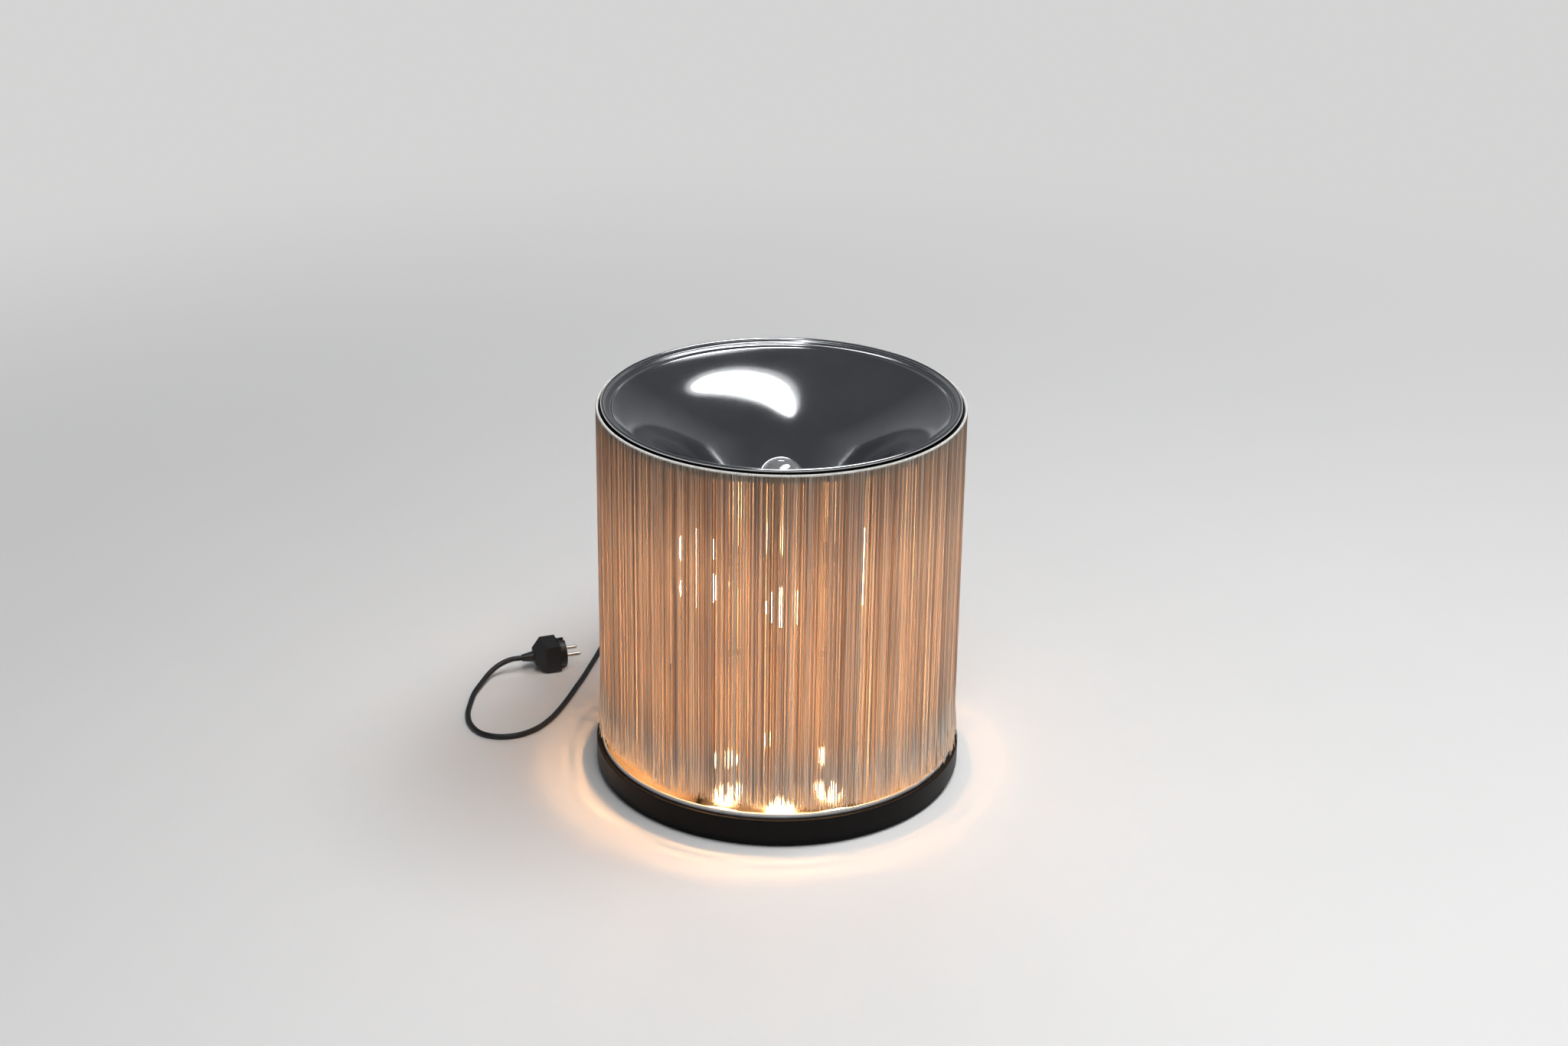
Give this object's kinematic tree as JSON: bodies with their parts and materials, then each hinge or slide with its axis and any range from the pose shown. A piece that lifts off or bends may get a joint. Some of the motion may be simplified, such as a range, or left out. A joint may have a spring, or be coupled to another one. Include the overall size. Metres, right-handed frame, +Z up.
{
  "type": "table lamp",
  "caption": "Cylindrical table lamp: a drum of hanging fringe lit from inside by a ring of small globe bulbs, under a chrome dish with a silvered bulb, on a round black base.",
  "frame": {"origin": "centre of the underside of the base's felt ring", "axes": "+Z up through the stem, -Y towards the front, +Y towards the cord's gland"},
  "size_m": [0.5856, 0.5916, 0.449],
  "materials": {
    "black_paint": "semi-gloss black",
    "felt": "felt",
    "steel": "zinc plated",
    "polished_aluminium": "polished",
    "chrome": "polished",
    "nickel": "nickel plated",
    "holder": "moulded",
    "brass": "bright",
    "cap": "rolled",
    "warm_glass": "frosted",
    "silvered_glass": "silvered",
    "fringe": "string",
    "cord": "matt",
    "black_plastic": "matt",
    "rocker_plastic": "gloss",
    "white_plastic": "matt"
  },
  "bodies": {
    "lamp": {"felt_ring": "felt", "foot_ring": "black_paint", "bottom_plate": "steel", "bottom_screws": "steel", "base_pan": "black_paint", "lower_reflector": "polished_aluminium", "terminal_block": "white_plastic", "inner_wiring": "cord", "stem_tube": "steel", "stem_nuts": "steel", "spacer_tubes": "nickel", "hub": "nickel", "arm_nipples": "steel", "screw_shells": "brass", "contact_springs": "brass", "top_lampholder": "holder", "dish_carrier": "steel", "dish_screws": "nickel", "reflector_dish": "chrome", "fringe_hoop": "black_paint", "cord_gland": "cord", "cord_lead": "cord", "cord_coil": "cord", "coil_tie": "black_plastic", "cord_link": "cord", "cord_tail": "cord", "switch_base": "black_plastic", "switch_cover": "black_plastic", "switch_screws": "steel", "plug_body": "black_plastic", "plug_pins": "nickel", "lampholder_1": "holder", "lampholder_2": "holder", "lampholder_3": "holder", "lampholder_4": "holder", "lampholder_5": "holder", "lampholder_6": "holder", "fringe_1": "fringe", "fringe_2": "fringe", "fringe_3": "fringe", "fringe_4": "fringe", "fringe_5": "fringe", "fringe_6": "fringe", "fringe_7": "fringe", "fringe_8": "fringe"},
    "bulb_1": {"bulb_cap_1": "cap", "bulb_glass_1": "warm_glass"},
    "bulb_2": {"bulb_cap_2": "cap", "bulb_glass_2": "warm_glass"},
    "bulb_3": {"bulb_cap_3": "cap", "bulb_glass_3": "warm_glass"},
    "bulb_4": {"bulb_cap_4": "cap", "bulb_glass_4": "warm_glass"},
    "bulb_5": {"bulb_cap_5": "cap", "bulb_glass_5": "warm_glass"},
    "bulb_6": {"bulb_cap_6": "cap", "bulb_glass_6": "warm_glass"},
    "top_bulb": {"top_bulb_cap": "cap", "top_bulb_glass": "silvered_glass"},
    "rocker": {"switch_rocker": "rocker_plastic"}
  },
  "joints": [
    {"name": "bulb_1_unscrew", "type": "hinge", "parent": "lamp", "child": "bulb_1", "pos_m": [0, 0, 0.245], "axis": [0.0698, -0.9976, 0], "range_deg": [0, 720]},
    {"name": "bulb_2_unscrew", "type": "hinge", "parent": "lamp", "child": "bulb_2", "pos_m": [0, 0, 0.245], "axis": [0.8988, -0.4384, 0], "range_deg": [0, 720]},
    {"name": "bulb_3_unscrew", "type": "hinge", "parent": "lamp", "child": "bulb_3", "pos_m": [0, 0, 0.245], "axis": [0.829, 0.5592, 0], "range_deg": [0, 720]},
    {"name": "bulb_4_unscrew", "type": "hinge", "parent": "lamp", "child": "bulb_4", "pos_m": [0, 0, 0.245], "axis": [-0.0698, 0.9976, 0], "range_deg": [0, 720]},
    {"name": "bulb_5_unscrew", "type": "hinge", "parent": "lamp", "child": "bulb_5", "pos_m": [0, 0, 0.245], "axis": [-0.8988, 0.4384, 0], "range_deg": [0, 720]},
    {"name": "bulb_6_unscrew", "type": "hinge", "parent": "lamp", "child": "bulb_6", "pos_m": [0, 0, 0.245], "axis": [-0.829, -0.5592, 0], "range_deg": [0, 720]},
    {"name": "top_bulb_unscrew", "type": "hinge", "parent": "lamp", "child": "top_bulb", "pos_m": [0, 0, 0.3], "axis": [0, 0, 1], "range_deg": [0, 720]},
    {"name": "switch_rock", "type": "hinge", "parent": "lamp", "child": "rocker", "pos_m": [-0.102, 0.368, 0.0165], "axis": [0, 1, 0], "range_deg": [0, 14]}
  ]
}
